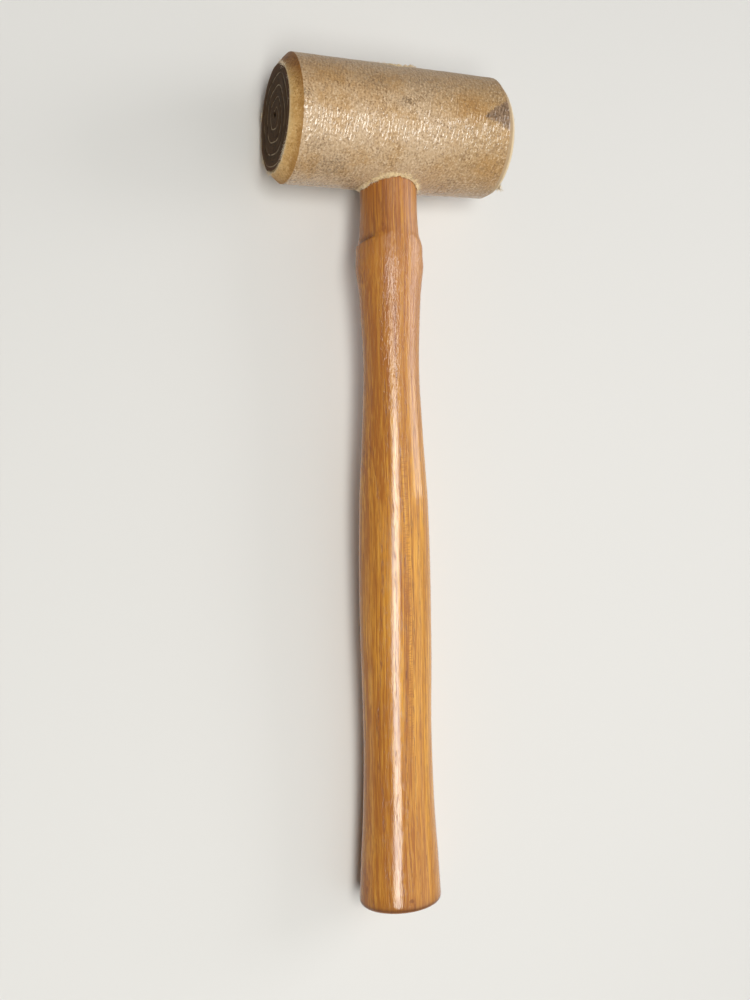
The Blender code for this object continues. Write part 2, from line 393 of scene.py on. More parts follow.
def skin_point(column, angle):
    """A point of the side's grid: its columns are even in the middle, and follow the chamfers' edges."""
    share = column / SIDE_COLUMNS
    reach = HEAD_LENGTH / 2 - CHAMFER_ALONG
    left = side_edge(-1, angle) + reach
    right = side_edge(1, angle) - reach
    x = 2 * reach * (share - 0.5) + left * smoothstep(1 - 5 * share) + right * smoothstep(5 * share - 4)
    return around(angle, HEAD_RADIUS + skin_relief(x, angle), x)


def face_x(end, place):
    """Where the plane of a striking face lies."""
    lean_y, lean_z = FACE_LEAN[end]
    return end * FACE_OUT[end] + lean_y * place.y + lean_z * place.z


def face_rim(end, angle):
    """Where the chamfer meets the striking face."""
    place = around(angle, 1.0, 7.0 * end)
    rim = around(angle, FACE_RADIUS[end] + rough(place, RIM_LUMPS)) + Vector((0, *FACE_MIDDLE[end]))
    rim.x = face_x(end, rim) - end * (RIM_SINK + rough(place, RIM_FRAY))
    return rim


def chamfer_point(end, angle, share):
    """A point across a chamfer, from the side's edge (0) to the face's rim (1)."""
    column = SIDE_COLUMNS if end > 0 else 0
    place = skin_point(column, angle).lerp(face_rim(end, angle), share)
    swell = CHAMFER_SWELL * 4 * share * (1 - share) + rough(place, CHAMFER_LUMPS)
    return place + around(angle, CHAMFER_ALONG, end * CHAMFER_DROP).normalized() * swell


def layer_radius(turn, row, share, end):
    """Radius of a point of the roll: its turn, its row, and its share of the way across the layer."""
    wound = turn + (row - LAP_ROW) % ROWS / ROWS + share
    uneven = rough(around(row * ROW_TURN, 1.0 + 0.30 * wound, 2.0 * end), LAYER_WANDER)
    return LAYER * (wound + uneven) + FIRST_LAYER


def face_point(end, angle, radius, rim_radius, share, line):
    """A point of a striking face: crowned across each layer, and sunk along the glue lines."""
    place = around(angle, radius) + CORE_DRIFT * (1 - radius / FACE_RADIUS[end]) ** 2
    lift = LAYER_CROWN * 4 * share * (1 - share) - GLUE_GROOVE * line + rough(place, FACE_LUMPS)
    lift *= smoothstep((rim_radius - radius) / FACE_EASE)
    place.x = face_x(end, place) + end * (lift - FACE_SINK)
    return place


def add_striking_face(shell, rim, end, glue):
    """The end of the roll: a grid that follows the strip round, so that each layer and glue line is real."""
    core = []
    for row in range(ROWS):
        place = around(row * ROW_TURN, CORE_RADIUS) + CORE_DRIFT
        place.x = face_x(end, place) - end * CORE_SINK
        core.append(shell.point(place))
    spokes = []
    for row in range(ROWS):
        rim_radius = hypot(*shell.points[rim[row]][1:])
        spoke = []
        for turn in range(-1, int(FACE_RADIUS[end] / LAYER) + 2):
            for share, line in zip(LAYER_POINTS, GLUE_AT_POINTS):
                radius = layer_radius(turn, row, share, end)
                if radius < CORE_RADIUS + FACE_CLEARANCE:
                    spoke.append(core[row])
                elif radius > rim_radius - FACE_CLEARANCE:
                    spoke.append(rim[row])
                else:
                    place = face_point(end, row * ROW_TURN, radius, rim_radius, share, line)
                    spoke.append(shell.point(place))
                    glue[spoke[-1]] = line
        spokes.append(spoke)
    for row in range(ROWS):
        here, there = spokes[row], spokes[(row + 1) % ROWS]
        skip = len(LAYER_POINTS) if (row + 1) % ROWS == LAP_ROW else 0
        for q in range(len(here) - 1 - skip):
            shell.face((here[q + skip], here[q + 1 + skip], there[q + 1], there[q]), END_FACE)
    add_core(shell, core, end)


def add_core(shell, core, end):
    """The small open core of the roll, closed at its foot."""
    deep = end * (FACE_OUT[end] - CORE_DEPTH)
    foot = shell.ring(around(row * ROW_TURN, 0.7 * CORE_RADIUS, deep) + CORE_DRIFT for row in range(ROWS))
    shell.band(core, foot, END_FACE)
    shell.face(foot, END_FACE)


def eye_loop(middle_row, flip):
    """Grid places on the edge of the eye's block, in order: column, row, and both counted from the middle."""
    c, r = EYE_COLUMNS, EYE_ROWS
    walk = [(i, -r) for i in range(-c, c)]
    walk += [(c, i) for i in range(-r, r)]
    walk += [(i, r) for i in range(c, -c, -1)]
    walk += [(-c, i) for i in range(r, -r, -1)]
    return [(SIDE_COLUMNS // 2 + i, (middle_row + flip * j) % ROWS, i, flip * j) for i, j in walk]


def collar_point(middle_row, i, j, out, rise, share):
    """A point between the edge of the eye's block and the collar, and on the collar where share is 1."""
    outward = cos(middle_row * ROW_TURN)
    border_x = i * (HEAD_LENGTH - 2 * CHAMFER_ALONG) / SIDE_COLUMNS
    border_turn = j * ROW_TURN
    bearing = atan2(HEAD_RADIUS * sin(border_turn), border_x)
    reach = EYE_RADIUS + out
    collar_turn = asin(reach * sin(bearing) / HEAD_RADIUS)
    x = border_x + (reach * cos(bearing) - border_x) * share
    angle = middle_row * ROW_TURN + border_turn + (collar_turn - border_turn) * share
    place = around(angle, HEAD_RADIUS + skin_relief(x, angle), x)
    wear = COLLAR_WEAR + rough(place, COLLAR_LUMPS)
    # The far side's collar stands up only at its right
    if outward > 0:
        wear *= 0.25 + 0.75 * smoothstep((x + 7) / 9)
    place.y += outward * rise * max(COLLAR_LEAST_WEAR, wear)
    return place


def add_eye(shell, grid, middle_row, flip):
    """The skin from the edge of the eye's block to the torn collar. Returns the collar's inner ring."""
    loop = eye_loop(middle_row, flip)
    rings = [[grid[column][row] for column, row, _, _ in loop]]
    profile = [(*COLLAR[0], ring / EYE_RINGS) for ring in range(1, EYE_RINGS + 1)]
    profile += [(*step, 1.0) for step in COLLAR[1:]]
    for step in profile:
        rings.append(shell.ring(collar_point(middle_row, i, j, *step) for _, _, i, j in loop))
    torn_from = EYE_RINGS + COLLAR_TORN_FROM
    for number, (near, far) in enumerate(zip(rings, rings[1:])):
        for i in range(len(near)):
            ragged = rough(Vector(shell.points[far[i]]), TEAR_LUMPS)
            finish = TORN if number + ragged > torn_from else SKIN
            shell.face((near[i - 1], near[i], far[i], far[i - 1]), finish)
    return rings[-1]


def add_tunnel(shell, entry, leaving):
    """The wall of the eye, from the handle's side to the far side."""
    rings = [entry]
    for step in range(1, EYE_TUNNEL_STEPS):
        ring = []
        for a, b in zip(entry, leaving):
            place = Vector(shell.points[a]).lerp(Vector(shell.points[b]), step / EYE_TUNNEL_STEPS)
            scale = EYE_TUNNEL_RADIUS / hypot(place.x, place.z)
            ring.append(shell.point((place.x * scale, place.y, place.z * scale)))
        rings.append(ring)
    shell.tube([*rings, leaving], TORN)


def in_eye_block(column, row):
    """True for a grid place strictly inside either eye's block, where the side's own grid has no points."""
    inside_column = abs(column - SIDE_COLUMNS // 2) < EYE_COLUMNS
    from_far = min(row, ROWS - row)
    from_near = abs(row - ROWS // 2)
    return inside_column and min(from_far, from_near) < EYE_ROWS


def head_shell():
    """The head as one closed mesh, its shares of glue and across the cuts, and its rims and collars."""
    shell = Shell()
    grid = []
    for column in range(SIDE_COLUMNS + 1):
        ring = []
        for row in range(ROWS):
            inside = in_eye_block(column, row)
            ring.append(None if inside else shell.point(skin_point(column, row * ROW_TURN)))
        grid.append(ring)
    for near, far in zip(grid, grid[1:]):
        for row in range(ROWS):
            corners = (near[row - 1], near[row], far[row], far[row - 1])
            if None not in corners:
                shell.face(corners, SKIN)
    rims, glue, cut = {}, {}, {}
    for end, edge in ((-1, grid[0]), (1, grid[-1])):
        near = edge
        for step in range(1, CHAMFER_COLUMNS + 1):
            share = step / CHAMFER_COLUMNS
            far = shell.ring(chamfer_point(end, row * ROW_TURN, share) for row in range(ROWS))
            shell.band(near, far, CHAMFER)
            near = far
            cut.update((point, share) for point in far)
        rims[end] = near
        add_striking_face(shell, near, end, glue)
    entry = add_eye(shell, grid, ROWS // 2, -1)
    leaving = add_eye(shell, grid, 0, 1)
    add_tunnel(shell, entry, leaving)
    return shell, {"glue": glue, "cut": cut}, rims, (entry, leaving)


def store_skin_places(mesh):
    """Each corner's place on the unrolled skin: along the head, around it since the lap, and depth."""
    points = np.empty(len(mesh.vertices) * 3)
    mesh.vertices.foreach_get("co", points)
    points = points.reshape(-1, 3) / MM
    turn = (np.arctan2(points[:, 2], points[:, 1]) - LAP_ANGLE - 1e-6) % (2 * pi)
    radius = np.hypot(points[:, 1], points[:, 2])
    places = np.stack([points[:, 0], turn * HEAD_RADIUS, HEAD_RADIUS - radius], 1)
    corner_point = np.empty(len(mesh.loops), int)
    mesh.loops.foreach_get("vertex_index", corner_point)
    starts = np.empty(len(mesh.polygons), int)
    mesh.polygons.foreach_get("loop_start", starts)
    corners = places[corner_point]
    sizes = np.diff(np.append(starts, len(corner_point)))
    highest = np.repeat(np.maximum.reduceat(corners[:, 1], starts), sizes)
    half = pi * HEAD_RADIUS
    corners[:, 1] += 2 * half * (highest - corners[:, 1] > half)
    layer = mesh.attributes.new("skin_place", "FLOAT_VECTOR", "CORNER")
    layer.data.foreach_set("vector", corners.astype(np.float32).ravel())


def store_point_values(mesh, name, values):
    layer = mesh.attributes.new(name, "FLOAT", "POINT")
    numbers = np.zeros(len(mesh.vertices), np.float32)
    for point, value in values.items():
        numbers[point] = value
    layer.data.foreach_set("value", numbers)


# Torn fibres at the edges of the hide


def random_direction(dice):
    return Vector((dice.uniform(-1, 1), dice.uniform(-1, 1), dice.uniform(-1, 1)))


def add_fibre(shell, dice, root, out, torn, kind):
    """A fibre with three sides, which thins from its root to its tip and bends."""
    longer, wider, widths, bend = kind
    length = dice.uniform(*FIBRE_LENGTHS) * (1 + longer * torn)
    width = dice.uniform(*widths) * (1 + wider * torn)
    sag = bend * random_direction(dice)
    out = out.normalized()
    side = out.cross(sag).normalized()
    up = out.cross(side).normalized()
    rings = []
    for step in range(FIBRE_RINGS):
        share = step / (FIBRE_RINGS - 1)
        middle = root + out * length * share + sag * length * share * share
        half = width / 2 * (1 - 0.85 * share)
        turns = (0, 2 * pi / 3, 4 * pi / 3)
        rings.append(shell.ring(middle + half * (cos(turn) * side + sin(turn) * up) for turn in turns))
    shell.closed_tube(rings)


def rim_torn(end, angle):
    """How badly a face's rim is torn at an angle."""
    return max(
        strength * exp(-(((angle - radians(at) + pi) % (2 * pi) - pi) / spread) ** 2)
        for at, spread, strength in RIM_TEARS[end]
    )


def fibres_mesh(head, rims, lips):
    """Loose fibres: along both faces' rims, thicker where the edge is torn, and around the eye."""
    dice = random.Random(7)
    shell = Shell()
    tries, likely, likelier = RIM_CHANCES
    for end, rim in rims.items():
        for row in range(ROWS):
            angle = row * ROW_TURN
            torn = rim_torn(end, angle)
            for _ in range(tries):
                if dice.random() > likely + likelier * torn:
                    continue
                root = Vector(head.points[rim[row]]) + 0.25 * random_direction(dice)
                out = around(angle, 0.7, end * 0.5) + 0.8 * random_direction(dice)
                add_fibre(shell, dice, root, out, torn, RIM_FIBRE)
    tries, likely, likelier = EYE_CHANCES
    tear, spread = EYE_TEAR
    for lip in lips:
        for point in [point for point in lip for _ in range(tries)]:
            root = Vector(head.points[point])
            bearing = atan2(root.z, root.x)
            torn = exp(-((bearing - radians(tear)) / spread) ** 2) if root.y < 0 else 0.0
            if dice.random() > likely + likelier * torn:
                continue
            root += 0.2 * random_direction(dice)
            away = Vector((root.x, 0, root.z)).normalized()
            clear = Vector((0, 1 if root.y > 0 else -1, 0))
            out = away * dice.uniform(-0.2, 0.8) + clear * 0.6 + 0.6 * random_direction(dice)
            add_fibre(shell, dice, root, out, torn, EYE_FIBRE)
    return shell.mesh("hide_fibres")


# Shape of the handle


def oval_at(distance):
    """Width and thickness of the handle's blank: a smooth curve through the listed ovals."""
    last = len(HANDLE_OVALS) - 2
    i = max(0, min(last, sum(oval[0] <= distance for oval in HANDLE_OVALS) - 1))
    before, here = HANDLE_OVALS[max(0, i - 1)], HANDLE_OVALS[i]
    there, after = HANDLE_OVALS[i + 1], HANDLE_OVALS[min(last + 1, i + 2)]
    run = there[0] - here[0]
    t = (distance - here[0]) / run
    sizes = []
    for k in (1, 2):
        leave = run * (there[k] - before[k]) / (there[0] - before[0])
        arrive = run * (after[k] - here[k]) / (after[0] - here[0])
        rise = there[k] - here[k]
        bow = t * (1 - t) * ((leave - rise) * (1 - t) - (arrive - rise) * t)
        sizes.append(here[k] + rise * t + bow)
    return sizes


def tenon_radius(distance):
    return TENON_RADIUS + TENON_SPREAD * smoothstep(-distance / HEAD_RADIUS)


def turned_radius(distance):
    """The round cut that makes the tenon: straight, a slight cone, then the rise of the shoulder."""
    cone = gentle_step((distance - TENON_STRAIGHT_TO) / (SHOULDER_TO - TENON_STRAIGHT_TO))
    rise = gentle_step((distance - SHOULDER_FROM) / (SHOULDER_TO - SHOULDER_FROM))
    past = max(0.0, distance - SHOULDER_TO)
    clear = past - 2 * CLEAR_RUN / 3 if past > CLEAR_RUN else past**3 / (3 * CLEAR_RUN**2)
    return tenon_radius(distance) + TENON_CONE * cone + SHOULDER_RISE * rise + CLEAR_SLOPE * clear


def soft_minimum(a, b, reach):
    """The smaller of two values, rounded over where they are within reach of each other."""
    near = max(0.0, reach - abs(a - b)) / reach
    return min(a, b) - near * near * reach / 4


def shoulder_nick(distance, turn):
    """Depth of the nick that the tenon's cutter left along the shoulder's left side."""
    degrees = turn * 180 / pi
    deep = NICK_DEPTH * smoothstep((degrees - NICK_FROM) / NICK_EASE_IN)
    deep *= smoothstep((NICK_TO - degrees) / NICK_EASE_OUT)
    fallen = smoothstep((degrees - NICK_FALLS_FROM) / (NICK_FALLS_TO - NICK_FALLS_FROM))
    before = NICK_AT + NICK_FALL * fallen - distance
    if before < 0:
        return deep * smoothstep(1 + before / NICK_LIP)
    return deep * exp(-before / NICK_RUN)


def butt_dent(distance, turn, radius):
    """Depth of the small dent near the butt's rim."""
    away = hypot(distance - DENT_AT[0], radius * (turn - DENT_AT[1]))
    return DENT_DEPTH * (1 - smoothstep(away / DENT_RADIUS))


def handle_point(distance, turn, inset=0.0):
    """A point of the handle: the blank's oval where it lies inside the round cut, and the cut elsewhere."""
    width, thickness = oval_at(max(distance, HANDLE_OVALS[0][0]))
    a, b = width / 2 - inset, thickness / 2 - inset
    oval = a * b / hypot(b * cos(turn), a * sin(turn))
    reach = min(SHOULDER_SOFTNESS, max(0.1, oval - TENON_RADIUS))
    radius = soft_minimum(oval, turned_radius(distance), reach)
    if distance > TENON_STRAIGHT_TO:
        place = Vector((radius * cos(turn), -distance, radius * sin(turn)))
        radius += rough(place, HANDLE_WAVES) * smoothstep((distance - TENON_STRAIGHT_TO) / 8)
        radius -= shoulder_nick(distance, turn) + butt_dent(distance, turn, radius)
    return Vector((radius * cos(turn), -distance, radius * sin(turn)))


def handle_shell():
    """The handle from the domed end of its tenon to its flat butt."""
    shell = Shell()
    turns = [2 * pi * i / HANDLE_SIDES for i in range(HANDLE_SIDES)]
    dome, rim = HEAD_RADIUS - TENON_SUNK, tenon_radius(-HEAD_RADIUS)
    rings = []
    for share in (0.02, 0.2, 0.4, 0.6, 0.8, 0.96, 1.0):
        eased = 0.25 if share == 1.0 else 0.0
        flat = [(rim * share * cos(turn), rim * share * sin(turn)) for turn in turns]
        rings.append([(x, sqrt(dome**2 - z**2) - eased, z) for x, z in flat])
    shoulder_end = SHOULDER_TO + 4
    straight_end = HANDLE_LENGTH - BUTT_ROUND
    inner_end = 2 - sqrt(HEAD_RADIUS**2 - TENON_RADIUS**2)
    distances = frange(inner_end, TENON_STRAIGHT_TO, HANDLE_RING_STEP)
    distances += frange(TENON_STRAIGHT_TO, shoulder_end, SHOULDER_RING_STEP)[1:]
    distances += frange(shoulder_end, straight_end, HANDLE_RING_STEP)[1:]
    for distance in distances:
        rings.append([handle_point(distance, turn) for turn in turns])
    for step in range(1, BUTT_RINGS + 1):
        bend = pi / 2 * step / BUTT_RINGS
        inset = BUTT_ROUND * (1 - cos(bend))
        rings.append([handle_point(straight_end + BUTT_ROUND * sin(bend), turn, inset) for turn in turns])
    butt = rings[-1]
    for share in (0.8, 0.6, 0.4, 0.2, 0.02):
        rings.append([(place.x * share, place.y, place.z * share) for place in butt])
    shell.closed_tube([shell.ring(ring) for ring in rings])
    return shell


def slot_cutter(name, size, top, across, through):
    """A tapered slot in the end of the tenon, as a hidden cutter."""
    mouth, foot, depth, reach = size
    above, below = top + SLOT_CLEAR, top - depth
    section = ((-mouth / 2, above), (mouth / 2, above), (foot / 2, below), (-foot / 2, below))
    shell = Shell()
    ends = []
    for side in (-1, 1):
        ends.append(shell.ring(a * across + Vector((0, y, 0)) + side * reach * through for a, y in section))
    shell.closed_tube(ends)
    return add_object(name, shell.mesh(name))


def handle_mesh():
    """The handle with its saw kerf and wedge slot cut."""
    blank = add_object("handle_blank", handle_shell().mesh("handle_wood"))
    x_axis, z_axis = Vector((1, 0, 0)), Vector((0, 0, 1))
    cutters = (
        slot_cutter("kerf_cutter", KERF, HEAD_RADIUS, z_axis, x_axis),
        slot_cutter("wedge_slot_cutter", WEDGE_SLOT, WEDGE_SLOT_TOP, x_axis, z_axis),
    )
    for cutter in cutters:
        cut = blank.modifiers.new(cutter.name, "BOOLEAN")
        cut.operation = "DIFFERENCE"
        cut.object = cutter
    bpy.context.view_layer.update()
    cut_mesh = bpy.data.meshes.new_from_object(blank.evaluated_get(bpy.context.evaluated_depsgraph_get()))
    for thing in (blank, *cutters):
        bpy.data.objects.remove(thing, do_unlink=True)
    cut_mesh.name = "handle_wood"
    cut_mesh.set_sharp_from_angle(angle=radians(40))
    return cut_mesh


# Finishes


class Tree:
    """Adds nodes to one node tree, so that a finish reads as a list of steps."""

    def __init__(self, tree):
        self.nodes = tree.nodes
        self.links = tree.links

    def fill(self, node, inputs):
        """Link a node's inputs to wires, or set them to plain values. A colour may leave out its alpha."""
        for key, value in inputs.items():
            socket = node.inputs[key]
            if isinstance(value, Wire):
                self.links.new(value.socket, socket)
            elif socket.type == "RGBA" and len(value) == 3:
                socket.default_value = (*value, 1.0)
            else:
                socket.default_value = value

    def node(self, kind, inputs, output=0, **settings):
        """The wire from one output of a new node."""
        made = self.nodes.new("ShaderNode" + kind)
        for name, value in settings.items():
            setattr(made, name, value)
        self.fill(made, inputs)
        return Wire(self, made.outputs[output])

    def use(self, group, inputs):
        """The wire from the first output of a shader group."""
        return self.node("Group", inputs, node_tree=group)

    def paint(self, colour, *coats):
        """A colour under coats of others, each with the share in which it covers what lies beneath."""
        for over, share in coats:
            colour = self.node("Mix", {0: share, 6: colour, 7: over}, 2, data_type="RGBA")
        return colour

    def shade(self, inputs):
        self.fill(self.nodes["Principled BSDF"], inputs)


class Wire:
    """What a node gives. Sums and products with other wires or plain values add the nodes for them."""

    def __init__(self, tree, socket):
        self.tree = tree
        self.socket = socket

    def beside(self, output):
        """Another output of the same node."""
        return Wire(self.tree, self.socket.node.outputs[output])

    def math(self, operation, other=0.0):
        kind = "VectorMath" if self.socket.type == "VECTOR" else "Math"
        return self.tree.node(kind, {0: self, 1: other}, operation=operation)

    def __add__(self, other):
        return self.math("ADD", other)

    def __sub__(self, other):
        return self.math("SUBTRACT", other)

    def __rsub__(self, other):
        return self.tree.node("Math", {0: other, 1: self}, operation="SUBTRACT")

    def __mul__(self, other):
        return self.math("MULTIPLY", other)

    def __truediv__(self, other):
        return self.math("DIVIDE", other)

    def axis(self, name):
        return self.tree.node("SeparateXYZ", {"Vector": self}, name)

    def length(self):
        return self.tree.node("VectorMath", {0: self}, "Value", operation="LENGTH")

    def noise(self, size, detail=2.0, roughness=0.5, shift=0.0, twist=0.0):
        """Noise around 0.5, with lumps of one size or a size along each axis. Shift picks a pattern."""
        if isinstance(size, tuple):
            place, scale = self * tuple(1 / part for part in size), 1.0
        else:
            place, scale = self * METRES, 1 / (size * MM)
        inputs = {"Vector": place, "W": shift, "Scale": scale, "Detail": detail, "Roughness": roughness}
        return self.tree.node("TexNoise", {**inputs, "Distortion": twist}, noise_dimensions="4D")

    def mask(self, start, end):
        """0 at start and 1 at end, smooth between and level beyond. Start may be the larger of the two."""
        inputs = {"Value": self, "From Min": start, "From Max": end}
        return self.tree.node("MapRange", inputs, interpolation_type="SMOOTHSTEP")

    def bump(self, depth):
        return self.tree.node("Bump", {"Height": self, "Distance": depth * MM, "Strength": 1.0})


ORIGIN = (0.0, 0.0, 0.0)
METRES = (MM, MM, MM)
SOCKET_KINDS = {0: "Float", 3: "Vector", 4: "Color"}


def new_group(name, inputs, outputs):
    """An empty shader group. An input's default tells its kind: a number, a place or a colour of four."""
    group = bpy.data.node_groups.new(name, "ShaderNodeTree")
    for label, default in inputs.items():
        kind = SOCKET_KINDS[len(default) if isinstance(default, tuple) else 0]
        socket = group.interface.new_socket(label, in_out="INPUT", socket_type="NodeSocket" + kind)
        socket.default_value = default
    for label in outputs:
        kind = "Color" if label == "Colour" else "Float"
        group.interface.new_socket(label, in_out="OUTPUT", socket_type="NodeSocket" + kind)
    tree = Tree(group)
    entry = group.nodes.new("NodeGroupInput")
    given = {label: Wire(tree, entry.outputs[label]) for label in inputs}
    return group, tree, given, group.nodes.new("NodeGroupOutput")


def hide_grain_group():
    """Relief of hide: slanting wrinkles, pebbles and hair pores."""
    inputs = {"Place": ORIGIN, "Wrinkle": 1.0, "Pebble": 1.0}
    group, tree, given, result = new_group("hide grain", inputs, ("Height", "Pores"))
    place = given["Place"]
    slant = tree.node("VectorRotate", {"Vector": place, "Angle": radians(-10)}, rotation_type="Z_AXIS")
    wrinkle = slant.noise((0.75, 2.3, 2.3), detail=0.2, shift=1.0, twist=0.35)
    pebble = place.noise(1.5, detail=1.5, shift=6.0)
    fine = place.noise(0.34, detail=1.0, shift=2.0)
    dot = tree.node("TexVoronoi", {"Vector": place, "Scale": 1 / 0.95}, "Distance")
    pores = dot.mask(0.36, 0.12) * dot.beside("Color").axis("X").mask(0.15, 0.65)
    height = wrinkle * given["Wrinkle"] + pebble * given["Pebble"] + fine * 0.05 - pores * 0.07
    tree.fill(result, {"Height": height, "Pores": pores})
    return group


def hide_mottling_group():
    """Colour of hide: tan clouds over the pale colour, grey mottling, and fine dark and pale specks."""
    inputs = {
        "Place": ORIGIN,
        "Pale": (0.5, 0.35, 0.2, 1.0),
        "Tan": (0.45, 0.28, 0.12, 1.0),
        "Speck": (0.2, 0.14, 0.08, 1.0),
        "Fleck": (0.78, 0.61, 0.42, 1.0),
        "Speckle": 1.0,
    }
    group, tree, given, result = new_group("hide mottling", inputs, ("Colour",))
    place, speck, speckle = given["Place"], given["Speck"], given["Speckle"]
    cloud = place.noise(15, detail=4.0, roughness=0.6, shift=4.2).mask(0.46, 0.64)
    mottle = place.noise(3.0, detail=5.0, roughness=0.68, shift=2.7).mask(0.50, 0.68)
    bare = place.noise(8, detail=3.0, shift=9.0).mask(0.40, 0.60)
    crowd = (bare * 0.55 + 0.45) * speckle
    specks = place.noise(0.80, detail=2.5, roughness=0.7, shift=0.6, twist=0.4)
    colour = tree.paint(
        given["Pale"],
        (given["Tan"], cloud * 0.8),
        (speck, mottle * speckle * 0.36),
        (speck, specks.mask(0.50, 0.64) * crowd * 0.85),
        (given["Fleck"], specks.mask(0.47, 0.35) * speckle * 0.65),
    )
    tree.fill(result, {"Colour": colour})
    return group


def wood_figure_group():
    """Straight-grained wood as a solid: growth rings about a pith, fibres and long pores along Y."""
    inputs = {
        "Place": ORIGIN,
        "Pith": (50.0, 0.0, -20.0),
        "Ring": 3.4,
        "Pale": (0.8, 0.5, 0.2, 1.0),
        "Light": (0.6, 0.3, 0.09, 1.0),
        "Dark": (0.3, 0.12, 0.03, 1.0),
        "Pore": (0.13, 0.05, 0.015, 1.0),
    }
    group, tree, given, result = new_group("wood figure", inputs, ("Colour", "Height"))
    place, pale, dark = given["Place"], given["Pale"], given["Dark"]
    sway = place.noise((26, 120, 26), shift=3.0)
    shiver = place.noise((5, 30, 5), shift=8.0)
    reach = ((place - given["Pith"]) * (1, 0, 1)).length() + sway * 4 + shiver
    rings = reach / given["Ring"]
    season = rings.math("FRACT")
    year = tree.node("TexWhiteNoise", {"W": rings.math("FLOOR")}, "Value", noise_dimensions="1D")
    early = season.mask(0.34, 0.10) * season.mask(0.0, 0.06)
    leaf_place = tree.node("CombineXYZ", {"X": rings * 3.4, "Y": place.axis("Y") * 0.014})
    leaf = leaf_place.noise((1, 1, 1), detail=3.0, roughness=0.6, shift=4.0)
    fibre = place.noise((0.25, 15, 0.6), roughness=0.6, shift=1.3, twist=0.3)
    streak = place.noise((1.1, 75, 3.0), roughness=0.55, shift=2.0, twist=0.3)
    tone = place.noise((9, 70, 9), shift=5.0)
    vessel = place.noise((0.26, 4.2, 0.6), detail=1.0, shift=7.3, twist=0.25)
    pores = vessel.mask(0.55, 0.62) * (early * 0.6 + 0.3)
    colour = tree.paint(
        given["Light"],
        (dark, tone.mask(0.38, 0.68) * 0.4),
        (dark, leaf.mask(0.46, 0.64) * 0.4),
        (dark, streak.mask(0.49, 0.58) * 0.75),
        (pale, streak.mask(0.47, 0.36) * 0.5),
        (dark, early * (year * 0.5 + 0.5) * 0.85),
        (pale, fibre.mask(0.49, 0.38) * 0.5),
        (dark, fibre.mask(0.50, 0.60) * 0.7),
        (given["Pore"], pores * 0.9),
    )
    tree.fill(result, {"Colour": colour, "Height": fibre * 0.22 - pores * 0.35})
    return group


def steel_bloom_group():
    """Dull steel: uneven grey, darker scale in patches and a little rust."""
    inputs = {"Place": ORIGIN, "Bare": (0.5, 0.5, 0.5, 1.0), "Rust": 0.3}
    group, tree, given, result = new_group("steel bloom", inputs, ("Colour", "Roughness"))
    cloud = given["Place"].noise(1.2, detail=4.0)
    fine = given["Place"].noise(0.3, shift=3.0)
    colour = tree.paint(
        given["Bare"],
        ((0.16, 0.15, 0.14), cloud.mask(0.45, 0.7)),
        ((0.22, 0.09, 0.035), fine.mask(0.5, 0.65) * given["Rust"]),
    )
    tree.fill(result, {"Colour": colour, "Roughness": cloud * 0.35 + 0.3})
    return group


def ragged_spot_group():
    """Mask of a ragged round spot, with its half sizes and its number of lumps to the metre."""
    inputs = {"Place": ORIGIN, "Middle": ORIGIN, "Sizes": (1.0, 1.0, 1.0)}
    inputs |= {"Lumps": 2000.0, "Ragged": 1.0, "Soft": 0.3}
    group, tree, given, result = new_group("ragged spot", inputs, ("Mask",))
    place, soft = given["Place"], given["Soft"]
    lumps = {"Vector": place * METRES, "W": 5.5, "Scale": given["Lumps"], "Detail": 4.0, "Roughness": 0.6}
    uneven = tree.node("TexNoise", lumps, noise_dimensions="4D") - 0.5
    reach = ((place - given["Middle"]) / given["Sizes"]).length() + uneven * given["Ragged"]
    tree.fill(result, {"Mask": reach.mask(soft + 0.9, 0.9 - soft)})
    return group


def new_finish(name):
    """A material, and its node tree with nothing in it but the shader."""
    finish = bpy.data.materials.new(name)
    finish.use_nodes = True
    return finish, Tree(finish.node_tree)


def attribute(tree, name, output):
    return tree.node("Attribute", {}, output, attribute_name=name)


def tool_place(tree):
    """The place on the piece itself, in millimetres."""
    return tree.node("TexCoord", {}, "Object") * (1 / MM, 1 / MM, 1 / MM)


def skin_turn(degrees):
    """How far around the unrolled skin an angle lies."""
    return (radians(degrees) - LAP_ANGLE) % (2 * pi) * HEAD_RADIUS


def add_spot(tree, spot, place, middle, sizes, ragged, soft=0.3):
    """A spot whose lumps are half as large as its smallest half size."""
    lumps = 2 / (min(sizes) * MM)
    inputs = {"Place": place, "Middle": middle, "Sizes": sizes, "Lumps": lumps}
    return tree.use(spot, {**inputs, "Ragged": ragged, "Soft": soft})


def skin_spots(tree, spot, place, table, squash, ragged, soft):
    """The masks and shares of a table of spots on the skin."""
    for x, degrees, half, share in table:
        sizes = (half, squash * half, half)
        yield add_spot(tree, spot, place, (x, skin_turn(degrees), 0.0), sizes, ragged, soft), share


def wedge_stain(place):
    """Masks of the stain at the right of the head, a wedge whose tip points to the left, and of its tip."""
    offset = place - (28.4, skin_turn(87.8), 0.0)
    out = offset.axis("X")
    over = (offset.axis("Y") + out * 0.17).math("ABSOLUTE")
    uneven = place.noise(1.3, detail=5.0, roughness=0.8, shift=3.3) - 0.5
    inside = out * 0.53 - over + uneven * 7.0
    return inside.mask(-0.6, 1.1), out.mask(5, 0.5)


def torn_edge(tree):
    """Mask of the pale hide around the eye's two ends, where the skin has burst: ragged and soft."""
    place = tool_place(tree)
    lumps = place.noise(2.2, detail=4.0, roughness=0.7, shift=8.3) - 0.5
    crumbs = place.noise(0.9, detail=1.0, shift=4.4) - 0.5
    reach = (place * (1, 0, 1)).length() + lumps * 4.0 + crumbs * 4.0
    return reach.mask(EYE_RADIUS + 1.9, EYE_RADIUS + 0.5)


